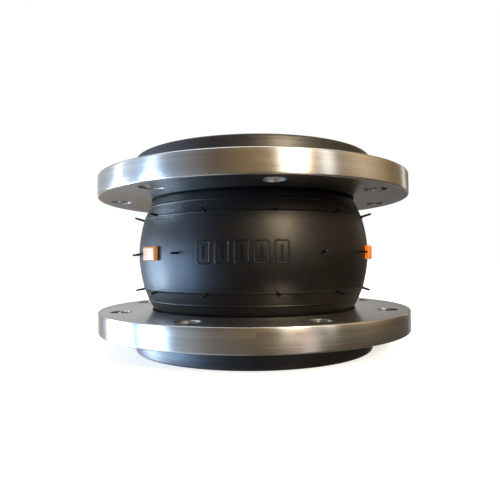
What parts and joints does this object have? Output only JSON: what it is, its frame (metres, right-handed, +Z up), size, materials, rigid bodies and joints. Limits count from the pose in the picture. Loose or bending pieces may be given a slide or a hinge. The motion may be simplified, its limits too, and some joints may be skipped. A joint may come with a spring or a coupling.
{
  "type": "rubber expansion joint",
  "caption": "Single-arch rubber expansion joint with two loose drilled steel flanges, sealing lips, vent spues and orange marker tabs.",
  "frame": {"origin": "centre of the lower sealing face, which the joint stands on", "axes": "+Z up along the pipe axis, -Y towards the front, +X to the right seen from the front"},
  "size_m": [0.34, 0.34, 0.205],
  "materials": {
    "flange_steel": "brushed",
    "bead_steel": "satin",
    "cover_rubber": "satin",
    "filler_rubber": "matte",
    "cord_fabric": "matte",
    "marker_orange": "satin"
  },
  "bodies": {
    "lower_collar": {"lower_sealing_face": "cover_rubber", "lower_lip_cover": "cover_rubber", "lower_bead_wrap": "cord_fabric", "lower_bead_ring": "bead_steel", "lower_bead_filler": "filler_rubber"},
    "lower_wall": {"inner_tube": "cover_rubber", "cord_ply_1": "cord_fabric", "cord_ply_2": "cord_fabric"},
    "upper_wall": {"cord_ply_3": "cord_fabric", "cord_ply_4": "cord_fabric", "outer_cover": "cover_rubber", "marker_tab_1": "marker_orange", "marker_tab_2": "marker_orange", "marker_tab_3": "marker_orange"},
    "upper_collar": {"upper_sealing_face": "cover_rubber", "upper_lip_cover": "cover_rubber", "upper_bead_wrap": "cord_fabric", "upper_bead_ring": "bead_steel", "upper_bead_filler": "filler_rubber"},
    "lower_flange": {"lower_flange": "flange_steel"},
    "upper_flange": {"upper_flange": "flange_steel"}
  },
  "joints": [
    {"name": "axial_travel", "type": "slide", "parent": "lower_collar", "child": "lower_wall", "axis": [0, 0, 1], "range_m": [-0.025, 0.016], "stiffness_N_per_m": 100000, "deforming": ["inner_tube", "cord_ply_1", "cord_ply_2", "cord_ply_3", "cord_ply_4", "outer_cover"]},
    {"name": "lateral_shift", "type": "slide", "parent": "lower_wall", "child": "upper_wall", "axis": [1, 0, 0], "range_m": [-0.022, 0.022], "stiffness_N_per_m": 97000, "deforming": ["inner_tube", "cord_ply_1", "cord_ply_2", "cord_ply_3", "cord_ply_4", "outer_cover"]},
    {"name": "angular_deflection", "type": "hinge", "parent": "upper_wall", "child": "upper_collar", "pos_m": [0, 0, 0.1025], "axis": [0, 1, 0], "range_deg": [-15, 15], "stiffness_Nm_per_rad": 400, "deforming": ["inner_tube", "cord_ply_1", "cord_ply_2", "cord_ply_3", "cord_ply_4", "outer_cover"]},
    {"name": "lower_flange_swivel", "type": "hinge", "parent": "lower_collar", "child": "lower_flange", "pos_m": [0, 0, 0.0325], "axis": [0, 0, 1], "continuous": true},
    {"name": "upper_flange_swivel", "type": "hinge", "parent": "upper_collar", "child": "upper_flange", "pos_m": [0, 0, 0.1725], "axis": [0, 0, 1], "continuous": true}
  ]
}
